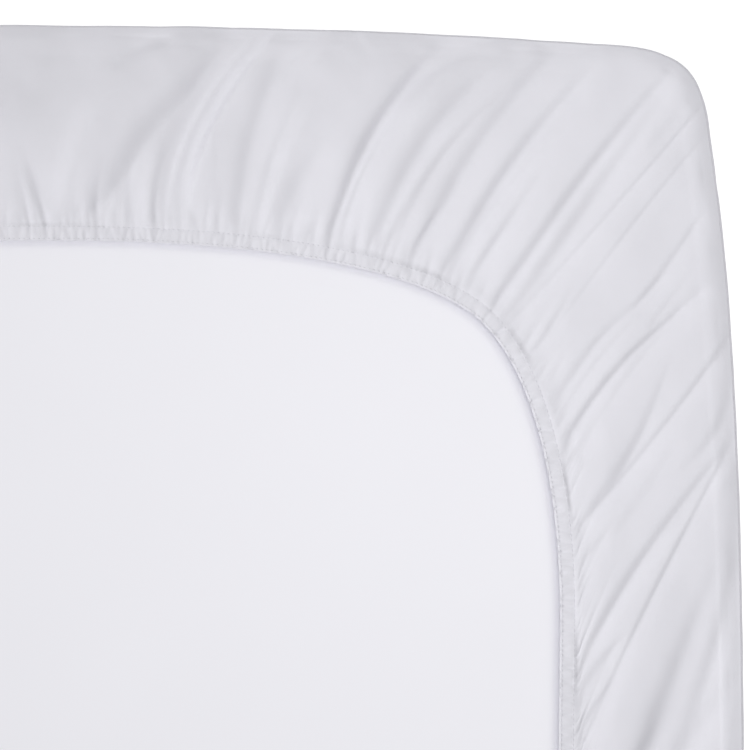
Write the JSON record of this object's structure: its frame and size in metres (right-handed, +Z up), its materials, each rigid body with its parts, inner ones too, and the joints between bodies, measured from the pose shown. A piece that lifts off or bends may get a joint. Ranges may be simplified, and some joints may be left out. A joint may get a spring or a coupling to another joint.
{
  "type": "fitted mattress protector on a crib mattress",
  "caption": "Stretch cloth protector fitted over a foam mattress, laid on its sleeping face so that its gathered elastic hem opens upwards.",
  "frame": {"origin": "on the surface, under the middle of the mattress", "axes": "+Y along the mattress, +X across it, +Z up through the hem opening, away from the sleeping face"},
  "size_m": [0.6923, 1.3109, 0.1338],
  "materials": {
    "cloth": "matt, pale lavender-white",
    "ticking": "smooth, white"
  },
  "bodies": {
    "root": {"protector": "cloth", "mattress": "ticking"}
  },
  "joints": []
}
